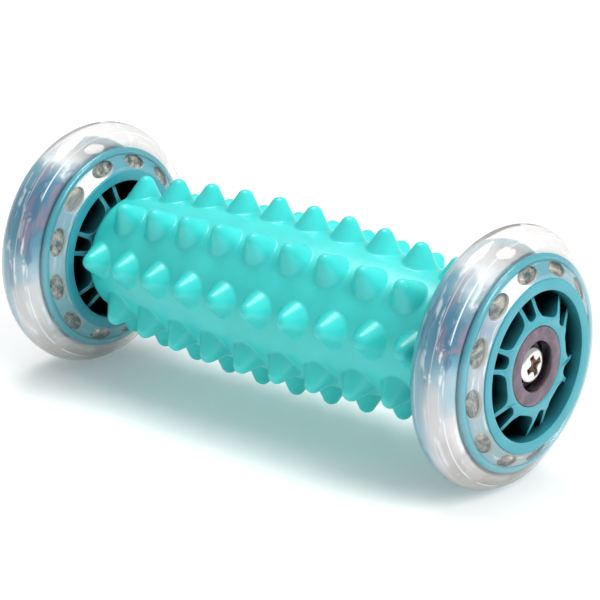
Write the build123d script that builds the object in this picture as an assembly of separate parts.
from build123d import *
import math
import os

# Foot massage roller: a spiked barrel between two wheels. Millimetres.
# X runs along the axle line, Z is up, and the origin is the middle of the axle
# line, so the floor is at z = -TREAD_R. Turns about X are in degrees, +Y to +Z.
# Outlines for revolving are lists of (x, radius).

os.makedirs("parts", exist_ok=True)

# ---- wheels ------------------------------------------------------------------
LENGTH = 170.0            # over the outer faces of the two wheels
WHEEL_W = 22.0            # between the faces of a hub rim
TREAD_R = 36.0
HALF_W = WHEEL_W / 2
FACE = LENGTH / 2         # outer face of the right wheel
WHEEL_X = FACE - HALF_W   # middle plane of the right wheel

# ---- hub rim, boss and web ---------------------------------------------------
RIM_R = 23.6
RIM_IN_R = 20.5           # bore near the face
RIM_IN_MID_R = 20.0       # bore at the middle web (moulding draft)
RIM_MOUTH_CHAMFER = 0.35
RIM_EDGE_CHAMFER = 0.25
BOSS_R = 13.9             # boss round the bush seats
BOSS_SET = 0.4            # boss face below the rim face
BOSS_CHAMFER = 0.3
BOSS_X = HALF_W - BOSS_SET
SEAT_R = 11.0             # bush seat
SEAT_DEPTH = 7.6          # from the boss face
SEAT_BORE_R = 8.2         # bore between the two seats
WEB_T = 2.0               # closed web in the middle plane
WEB_RIM_LAP = 0.6         # overlap of the web into the rim
WEB_BOSS_GAP = 1.0        # web starts this far outside the bore
OVERCUT = 1.0             # cutters run this far past the boss faces

# ---- hub ribs, in pairs from boss to rim -------------------------------------
RIB_PAIRS = 6
RIB_HALF_ANGLE = 9.3      # half the angle between the ribs of a pair
RIB_T = 1.3
RIB_SET_IN = 0.4          # rib edge below the rim face, at the boss
RIB_SET_OUT = 3.0         # the same at the rim
RIB_KINK_OUT = 0.6        # the edge bends this far outside the boss,
RIB_KINK_DROP = 0.25      # having dropped this much
RIB_ROOT_R = BOSS_R - 1.2
RIB_END_R = RIM_IN_MID_R + 0.9
FLARE_HALF_T = 2.5        # flared rib foot: half thickness at its widest,
FLARE_WIDEST_R = RIB_ROOT_R + 0.5
FLARE_START_R = RIB_ROOT_R - 0.4
FLARE_END_R = BOSS_R + 1.9
FLARE_SET = 1.1           # flare end below the rim face

# ---- hub flanges: thin cones from the rim out to a round bead ----------------
BEAD_R = 28.5             # bead's centre circle,
BEAD_X = 6.9              # its distance from the middle plane
BEAD_SECTION_R = 1.1      # and the radius of its section
FLANGE_T = 1.0
FLANGE_RIM_X = 10.4       # outer face of the cone at the rim
FLANGE_BEAD_X = 7.3       # outer face of the cone at the bead
FLANGE_INSET = 0.5        # cone starts inside RIM_R and ends inside BEAD_R by this
FLANGE_HOLES = 12         # oval holes, so the tyre keys through the flange
HOLE_HALF_W = 1.4         # radially
HOLE_HALF_L = 3.8         # along the turn
HOLE_CENTRE_R = 25.7
HOLE_CUT_X = 14.0         # half length of the hole cutters

# ---- tyre --------------------------------------------------------------------
TYRE_SHOULDER_R = 24.6    # where the curved side starts, at the tyre's face
TYRE_SET = 0.35           # tyre face below the rim face
TYRE_POWER = 0.80         # roundness of the section
TYRE_STEPS = 14           # spline steps from face to crown

# ---- roller sleeve and core tube ---------------------------------------------
SLEEVE_END = 61.9         # half length of the sleeve
BARREL_R = 21.2           # in the middle
BARREL_END_R = 17.2       # at BARREL_END_X
BARREL_END_X = 57.0
END_ROUND = 3.2           # length of the rounded corner of the barrel ends
END_ROUND_EASE = 0.35     # the corner is this much less deep than long
SLEEVE_BORE_R = 13.0
TUBE_BORE_R = 10.5
TUBE_END = 58.0           # half length of the tube
SPIKE_H = 6.0
SPIKE_BASE_R = 4.9
SPIKE_TIP_R = 2.5
SPIKE_ROOT = 2.6          # depth sunk into the barrel
SPIKE_PITCH = 12.456
SPIKE_ROWS = 8
ROW_SPIKES = (10, 9)      # spikes in even and odd rows
FIRST_ROW_TURN = 81.3
TRIM_L = 6.0              # rings that trim the end spikes
TRIM_R = 40.0

# ---- bushes and axle sleeve --------------------------------------------------
BUSH_W = 7.5              # outer bush
BUSH_SET = 0.5            # its outer face below the rim's outer face
INNER_BUSH_W = 7.0
INNER_BUSH_SET = 1.0      # its inner face below the rim's inner face
BUSH_CHAMFER = 0.3
BUSH_FACE_CHAMFER = 0.5   # on the outside edge of the exposed face
WELL_R = 6.9              # screw head well in the outer bush
WELL_DEPTH = 4.0
WELL_CHAMFER = 0.4
AXLE_R = 4.0              # outside of the axle sleeve
AXLE_BORE_R = 2.6
AXLE_CLEAR = 0.05
BUSH_BORE_R = AXLE_R + AXLE_CLEAR
END_PLAY = 0.1            # running clearance beside each bush

BUSH_OUT = FACE - BUSH_SET                      # outer face of the outer bush
BUSH_IN = FACE - WHEEL_W + INNER_BUSH_SET       # inner face of the inner bush
WELL_FLOOR = BUSH_OUT - WELL_DEPTH
AXLE_OUT = WELL_FLOOR + END_PLAY                # outer end of the axle sleeve

# ---- washers and pan-head screw ----------------------------------------------
THRUST_WASHER_R = 6.2
WASHER_R = 6.2            # screw washer
WASHER_T = 0.5
WASHER_CHAMFER = 0.12
SCREW_R = 2.5
SCREW_LEN = 30.0          # below the head
SCREW_TIP_CHAMFER = 0.6
HEAD_R = 5.2
HEAD_H = 2.6
HEAD_CHAMFER = 0.15
HEAD_SIDE_H = 1.2         # straight side of the head
HEAD_BEND_H = 2.15        # middle of the rounded shoulder: height
HEAD_BEND_IN = 0.75       # and distance in from HEAD_R
CROWN_R = 2.9             # shallow crown on top of the head
CROWN_H = 0.12
RECESS_OVER = 0.05        # recess cutters start this far above the head
RECESS_DEPTH = 1.75
RECESS_TURN = 22          # first slot
SLOT_TOP = (6.0, 1.25)    # slot length and width at the top
SLOT_FLOOR = (2.6, 0.85)  # and at the floor
RECESS_CONE_TOP_R = 1.35
RECESS_CONE_FLOOR_R = 0.8
RECESS_POINT_DEPTH = 2.2
HEAD_SEAT = AXLE_OUT + WASHER_T                 # underside of the head

# ---- end plug and threaded insert --------------------------------------------
PLUG_IN = 40.0            # inner end of the plug
PLUG_CHAMFER = 1.0
PLUG_BOSS_OUT = 62.9      # end of the plug boss, the thrust washer's seat
PLUG_BOSS_R = 7.0
PLUG_BOSS_CHAMFER = 0.4
INSERT_R = 4.0
INSERT_IN = 46.0
INSERT_OUT = 60.6         # the axle sleeve bottoms here


def revolve_edges(*edges):
    return revolve(make_face(Wire(list(edges))), Axis.X, 360)


def revolve_points(*points):
    return revolve(make_face(Polyline(*points, close=True)), Axis.X, 360)


def ring(x0, x1, r_out, r_in=0.0):
    """Plain ring or disc between two planes."""
    return revolve_points((x0, r_in), (x1, r_in), (x1, r_out), (x0, r_out))


# ---- roller sleeve -----------------------------------------------------------
def barrel_radius(x):
    """Radius of the barrel at x, on one long arc."""
    sag = BARREL_R - BARREL_END_R
    arc_r = (BARREL_END_X ** 2 + sag ** 2) / (2 * sag)
    return BARREL_R - (arc_r - math.sqrt(arc_r ** 2 - x ** 2))


def barrel():
    end = SLEEVE_END
    round_x = end - END_ROUND
    round_r = barrel_radius(round_x)
    end_r = round_r - END_ROUND + END_ROUND_EASE
    diagonal = math.sqrt(0.5)
    mid_x = round_x + END_ROUND * diagonal
    mid_r = end_r + (round_r - end_r) * diagonal
    return revolve_edges(
        Line((-end, SLEEVE_BORE_R), (end, SLEEVE_BORE_R)),
        Line((end, SLEEVE_BORE_R), (end, end_r)),
        ThreePointArc((end, end_r), (mid_x, mid_r), (round_x, round_r)),
        ThreePointArc((round_x, round_r), (0, BARREL_R), (-round_x, round_r)),
        ThreePointArc((-round_x, round_r), (-mid_x, mid_r), (-end, end_r)),
        Line((-end, end_r), (-end, SLEEVE_BORE_R)),
    )


def spike():
    """Round cone with a ball tip, pointing along +Z, foot at z = 0."""
    ball_z = SPIKE_H - SPIKE_TIP_R
    slant = math.hypot(SPIKE_BASE_R, ball_z)
    # slope of the cone's side, tangent to the ball
    lean = math.atan2(ball_z, SPIKE_BASE_R) + math.asin(SPIKE_TIP_R / slant)
    root_r = SPIKE_BASE_R + SPIKE_ROOT / math.tan(lean)

    def on_ball(angle):
        return (SPIKE_TIP_R * math.sin(angle), 0, ball_z + SPIKE_TIP_R * math.cos(angle))

    root_centre, root_edge = (0, 0, -SPIKE_ROOT), (root_r, 0, -SPIKE_ROOT)
    tangent, tip = on_ball(lean), (0, 0, SPIKE_H)
    wire = Wire([
        Line(root_centre, root_edge),
        Line(root_edge, tangent),
        ThreePointArc(tangent, on_ball(lean / 2), tip),
        Line(tip, root_centre),
    ])
    return revolve(make_face(wire), Axis.Z, 360)


def roller_sleeve():
    one = spike()
    spikes = []
    for row in range(SPIKE_ROWS):
        angle = FIRST_ROW_TURN + row * 360.0 / SPIKE_ROWS
        count = ROW_SPIKES[row % 2]
        for i in range(count):
            x = (i - (count - 1) / 2) * SPIKE_PITCH
            standing = Pos(0, 0, barrel_radius(x)) * one
            spikes.append(Pos(x, 0, 0) * (Rot(angle - 90, 0, 0) * standing))
    sleeve = barrel().fuse(*spikes)
    # the end spikes stop flush with the sleeve's ends
    return sleeve.cut(ring(SLEEVE_END, SLEEVE_END + TRIM_L, TRIM_R),
                      ring(-SLEEVE_END - TRIM_L, -SLEEVE_END, TRIM_R))


def core_tube():
    return ring(-TUBE_END, TUBE_END, SLEEVE_BORE_R, TUBE_BORE_R)


# ---- wheel hub, centred on the origin ----------------------------------------
def hub_rim():
    mouth, edge = RIM_MOUTH_CHAMFER, RIM_EDGE_CHAMFER
    return revolve_points(
        (-HALF_W, RIM_IN_R + mouth), (-HALF_W + mouth, RIM_IN_R),
        (-WEB_T / 2, RIM_IN_MID_R), (WEB_T / 2, RIM_IN_MID_R),
        (HALF_W - mouth, RIM_IN_R), (HALF_W, RIM_IN_R + mouth),
        (HALF_W, RIM_R - edge), (HALF_W - edge, RIM_R),
        (-HALF_W + edge, RIM_R), (-HALF_W, RIM_R - edge))


def hub_boss():
    x, edge = BOSS_X, BOSS_CHAMFER
    return revolve_points(
        (-x, SEAT_BORE_R), (x, SEAT_BORE_R), (x, BOSS_R - edge), (x - edge, BOSS_R),
        (-x + edge, BOSS_R), (-x, BOSS_R - edge))


def rib():
    """Rib along +Y; its edges fall away from the boss towards the rim."""
    x_in, x_out = HALF_W - RIB_SET_IN, HALF_W - RIB_SET_OUT
    x_kink, kink_r = x_in - RIB_KINK_DROP, BOSS_R + RIB_KINK_OUT
    face = make_face(Polyline(
        (-x_in, RIB_ROOT_R), (x_in, RIB_ROOT_R), (x_kink, kink_r), (x_out, RIB_END_R),
        (-x_out, RIB_END_R), (-x_kink, kink_r), close=True))
    return extrude(face, RIB_T / 2, both=True)


def rib_flare():
    """Foot of a rib along +Y, where it widens into the boss."""
    sketch = make_face(Polyline(
        (0, FLARE_START_R), (FLARE_HALF_T, FLARE_WIDEST_R), (RIB_T / 2, FLARE_END_R),
        (-RIB_T / 2, FLARE_END_R), (-FLARE_HALF_T, FLARE_WIDEST_R), close=True))
    return Rot(-90, 0, 0) * extrude(Plane.YZ * sketch, HALF_W - FLARE_SET, both=True)


def flange(side):
    rim_r, bead_r = RIM_R - FLANGE_INSET, BEAD_R - FLANGE_INSET
    return revolve_points(
        (side * FLANGE_RIM_X, rim_r), (side * FLANGE_BEAD_X, bead_r),
        (side * (FLANGE_BEAD_X - FLANGE_T), bead_r),
        (side * (FLANGE_RIM_X - FLANGE_T), rim_r))


def flange_hole(angle):
    oval = Plane.YZ * (Pos(HOLE_CENTRE_R, 0, 0) * Ellipse(HOLE_HALF_W, HOLE_HALF_L))
    return Rot(angle, 0, 0) * extrude(oval, HOLE_CUT_X, both=True)


def hub(turn, hole_turn):
    """Hub with its first rib pair at turn, and first hole hole_turn further."""
    web = ring(-WEB_T / 2, WEB_T / 2, RIM_IN_MID_R + WEB_RIM_LAP, SEAT_BORE_R + WEB_BOSS_GAP)
    one_rib, one_flare = rib(), rib_flare()
    ribs = []
    for k in range(RIB_PAIRS):
        for side in (-1, 1):
            place = Rot(turn + k * 360.0 / RIB_PAIRS + side * RIB_HALF_ANGLE, 0, 0)
            ribs += [place * one_rib, place * one_flare]
    holes = [flange_hole(turn + hole_turn + k * 360.0 / FLANGE_HOLES)
             for k in range(FLANGE_HOLES)]
    flanges = [flange(side).cut(*holes) for side in (-1, 1)]
    beads = [Pos(side * BEAD_X, 0, 0) * Torus(BEAD_R, BEAD_SECTION_R, rotation=(0, 90, 0))
             for side in (-1, 1)]
    body = hub_rim().fuse(hub_boss(), web, *ribs)
    body = body.cut(
        ring(BOSS_X - SEAT_DEPTH, BOSS_X + OVERCUT, SEAT_R),
        ring(-BOSS_X - OVERCUT, -BOSS_X + SEAT_DEPTH, SEAT_R),
        ring(-BOSS_X - OVERCUT, BOSS_X + OVERCUT, SEAT_BORE_R))
    return body.fuse(*flanges).fuse(*beads)


def tyre_blank():
    """Tyre as if there were no flanges: bullet-shaped section."""
    face_x = HALF_W - TYRE_SET
    right = []                       # face to crown
    for i in range(TYRE_STEPS + 1):
        u = math.cos(math.pi / 2 * i / TYRE_STEPS)
        rise = (TREAD_R - TYRE_SHOULDER_R) * (1 - u * u) ** TYRE_POWER
        right.append((face_x * u, TYRE_SHOULDER_R + rise))
    left = [(-x, r) for x, r in reversed(right[:-1])]
    return revolve_edges(
        Line((-face_x, RIM_R), (face_x, RIM_R)),
        Line((face_x, RIM_R), right[0]),
        Spline(*right, *left),
        Line(left[-1], (-face_x, RIM_R)),
    )


# ---- small parts, drawn at the right-hand end --------------------------------
def outer_bush():
    x0, x1 = BUSH_OUT - BUSH_W, BUSH_OUT
    edge, face_edge = BUSH_CHAMFER, BUSH_FACE_CHAMFER
    return revolve_points(
        (x0, BUSH_BORE_R + edge), (x0 + edge, BUSH_BORE_R), (WELL_FLOOR, BUSH_BORE_R),
        (WELL_FLOOR, WELL_R), (x1 - WELL_CHAMFER, WELL_R), (x1, WELL_R + WELL_CHAMFER),
        (x1, SEAT_R - face_edge), (x1 - face_edge, SEAT_R),
        (x0 + edge, SEAT_R), (x0, SEAT_R - edge))


def inner_bush():
    x0, x1 = BUSH_IN, BUSH_IN + INNER_BUSH_W
    edge, face_edge = BUSH_CHAMFER, BUSH_FACE_CHAMFER
    return revolve_points(
        (x0, BUSH_BORE_R + edge), (x0 + edge, BUSH_BORE_R),
        (x1 - edge, BUSH_BORE_R), (x1, BUSH_BORE_R + edge),
        (x1, SEAT_R - edge), (x1 - edge, SEAT_R),
        (x0 + face_edge, SEAT_R), (x0, SEAT_R - face_edge))


def axle_sleeve():
    return ring(INSERT_OUT, AXLE_OUT, AXLE_R, AXLE_BORE_R)


def thrust_washer():
    return ring(PLUG_BOSS_OUT, BUSH_IN - END_PLAY, THRUST_WASHER_R, AXLE_R)


def screw_washer():
    return revolve_points(
        (AXLE_OUT, AXLE_BORE_R), (HEAD_SEAT, AXLE_BORE_R),
        (HEAD_SEAT, WASHER_R - WASHER_CHAMFER), (HEAD_SEAT - WASHER_CHAMFER, WASHER_R),
        (AXLE_OUT, WASHER_R))


def screw():
    seat, top, tip = HEAD_SEAT, HEAD_SEAT + HEAD_H, HEAD_SEAT - SCREW_LEN
    tip_edge = (tip, SCREW_R - SCREW_TIP_CHAMFER)
    shank_start = (tip + SCREW_TIP_CHAMFER, SCREW_R)
    head_edge = (seat, HEAD_R - HEAD_CHAMFER)
    side_start = (seat + HEAD_CHAMFER, HEAD_R)
    side_end = (seat + HEAD_SIDE_H, HEAD_R)
    bend = (seat + HEAD_BEND_H, HEAD_R - HEAD_BEND_IN)
    crown_edge = (top - CROWN_H, CROWN_R)
    blank = revolve_edges(
        Line((tip, 0), tip_edge),
        Line(tip_edge, shank_start),
        Line(shank_start, (seat, SCREW_R)),
        Line((seat, SCREW_R), head_edge),
        Line(head_edge, side_start),
        Line(side_start, side_end),
        ThreePointArc(side_end, bend, crown_edge),
        ThreePointArc(crown_edge, (top - CROWN_H / 4, CROWN_R / 2), (top, 0)),
        Line((top, 0), (tip, 0)),
    )
    # cross recess: two tapered slots and a cone
    recess_top, recess_floor = top + RECESS_OVER, top - RECESS_DEPTH

    def slot_section(x, size):
        return Plane(origin=(x, 0, 0), x_dir=(0, 1, 0), z_dir=(1, 0, 0)) * Rectangle(*size)

    slots = []
    for angle in (0, 90):
        sections = [slot_section(recess_top, SLOT_TOP), slot_section(recess_floor, SLOT_FLOOR)]
        slots.append(Rot(angle + RECESS_TURN, 0, 0) * loft(sections))
    cone = revolve_points(
        (recess_top, 0), (recess_top, RECESS_CONE_TOP_R),
        (recess_floor, RECESS_CONE_FLOOR_R), (top - RECESS_POINT_DEPTH, 0))
    return blank.cut(*slots).cut(cone)


def end_plug():
    # the bore wall is split at INSERT_OUT, where insert and axle sleeve meet
    return revolve_points(
        (PLUG_IN, INSERT_R), (INSERT_OUT, INSERT_R), (PLUG_BOSS_OUT, INSERT_R),
        (PLUG_BOSS_OUT, PLUG_BOSS_R - PLUG_BOSS_CHAMFER),
        (PLUG_BOSS_OUT - PLUG_BOSS_CHAMFER, PLUG_BOSS_R), (SLEEVE_END, PLUG_BOSS_R),
        (SLEEVE_END, SLEEVE_BORE_R), (TUBE_END, SLEEVE_BORE_R), (TUBE_END, TUBE_BORE_R),
        (PLUG_IN + PLUG_CHAMFER, TUBE_BORE_R), (PLUG_IN, TUBE_BORE_R - PLUG_CHAMFER))


def threaded_insert():
    return ring(INSERT_IN, INSERT_OUT, INSERT_R, SCREW_R)


# ---- write the parts ---------------------------------------------------------
def write(name, shape):
    solids = shape.solids()
    part = solids[0] if len(solids) == 1 else Compound(children=list(solids))
    part.label = name
    export_step(part, os.path.join("parts", name + ".step"))


write("roller_sleeve", roller_sleeve())
write("core_tube", core_tube())

# side, middle plane, turn of the first rib pair, first hole's turn from that pair
WHEELS = (
    ("right", WHEEL_X, 39.8, -3.0),
    ("left", -WHEEL_X, 41.3, 0.6),
)
blank_tyre = tyre_blank()
for side_name, wheel_x, rib_turn, first_hole in WHEELS:
    wheel_hub = Pos(wheel_x, 0, 0) * hub(rib_turn, first_hole)
    write(side_name + "_wheel_hub", wheel_hub)
    write(side_name + "_tyre", (Pos(wheel_x, 0, 0) * blank_tyre).cut(wheel_hub))

for make in (outer_bush, inner_bush, axle_sleeve, thrust_washer,
             screw_washer, screw, end_plug, threaded_insert):
    right_part = make()
    write("right_" + make.__name__, right_part)
    write("left_" + make.__name__, mirror(right_part, about=Plane.YZ))
